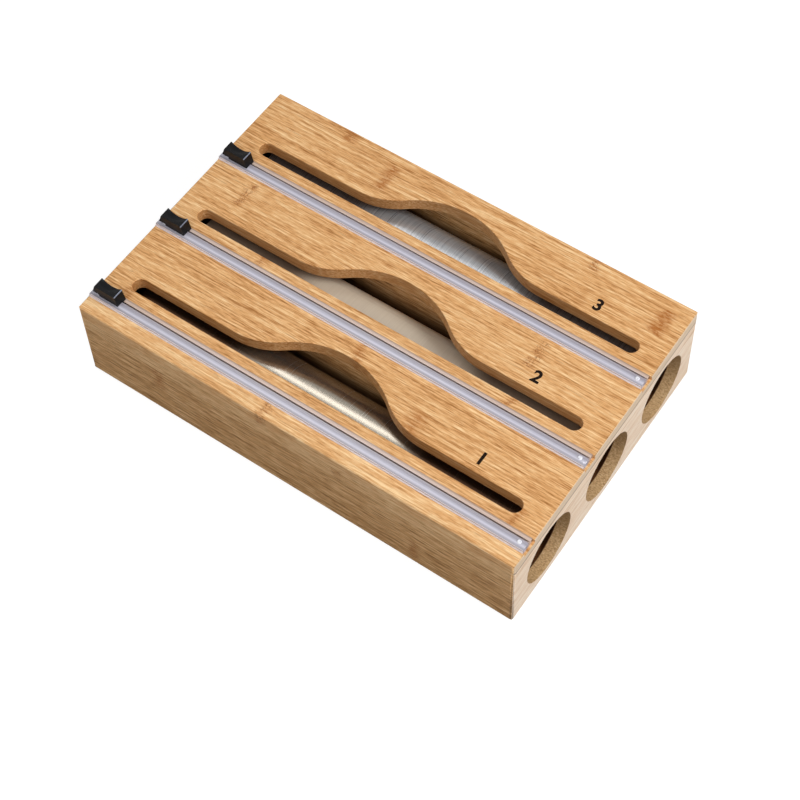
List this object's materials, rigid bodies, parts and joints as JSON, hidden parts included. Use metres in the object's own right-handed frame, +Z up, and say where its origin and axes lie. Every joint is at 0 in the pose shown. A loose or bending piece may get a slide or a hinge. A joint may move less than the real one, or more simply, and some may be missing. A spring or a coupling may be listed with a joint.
{
  "type": "kitchen wrap dispenser",
  "caption": "Bamboo box that holds rolls of foil and film side by side, with wave slots and sliding cutters on clear rails in its top, and round loading holes in one end.",
  "frame": {"origin": "middle of the underside of the box, on the surface that it stands on", "axes": "+X to the right, towards the end board with the loading holes; +Y to the back, away from the user; +Z up"},
  "size_m": [0.335, 0.219, 0.0802],
  "materials": {
    "bamboo_top": "satin",
    "bamboo_face": "satin",
    "bamboo_end": "satin",
    "clear_rail": "clear gloss",
    "black_plastic": "satin",
    "blade_steel": "ground",
    "core_board": "matte",
    "foil": "satin",
    "wax_paper": "waxed",
    "plastic_film": "gloss"
  },
  "bodies": {
    "case": {"front_board": "bamboo_face", "back_board": "bamboo_face", "left_board": "bamboo_end", "right_board": "bamboo_end", "floor_panel": "bamboo_face", "front_divider": "bamboo_face", "back_divider": "bamboo_face", "top_panel": "bamboo_top", "front_rail": "clear_rail", "middle_rail": "clear_rail", "back_rail": "clear_rail", "rail_stops": "clear_rail"},
    "front_cutter": {"front_grip": "black_plastic", "front_runner": "black_plastic", "front_blade": "blade_steel"},
    "middle_cutter": {"middle_grip": "black_plastic", "middle_runner": "black_plastic", "middle_blade": "blade_steel"},
    "back_cutter": {"back_grip": "black_plastic", "back_runner": "black_plastic", "back_blade": "blade_steel"},
    "front_roll": {"front_core": "core_board", "foil_sheet": "foil"},
    "middle_roll": {"middle_core": "core_board", "wax_sheet": "wax_paper"},
    "back_roll": {"back_core": "core_board", "film_sheet": "plastic_film"}
  },
  "joints": [
    {"name": "front_cutter_slide", "type": "slide", "parent": "case", "child": "front_cutter", "axis": [1, 0, 0], "range_m": [0, 0.30355]},
    {"name": "middle_cutter_slide", "type": "slide", "parent": "case", "child": "middle_cutter", "axis": [1, 0, 0], "range_m": [0, 0.30355]},
    {"name": "back_cutter_slide", "type": "slide", "parent": "case", "child": "back_cutter", "axis": [1, 0, 0], "range_m": [0, 0.30355]},
    {"name": "front_roll_spin", "type": "hinge", "parent": "case", "child": "front_roll", "pos_m": [0, -0.0675, 0.0298], "axis": [1, 0, 0], "continuous": true},
    {"name": "middle_roll_spin", "type": "hinge", "parent": "case", "child": "middle_roll", "pos_m": [0, -0.001, 0.0298], "axis": [1, 0, 0], "continuous": true},
    {"name": "back_roll_spin", "type": "hinge", "parent": "case", "child": "back_roll", "pos_m": [0, 0.0709, 0.0298], "axis": [1, 0, 0], "continuous": true}
  ]
}
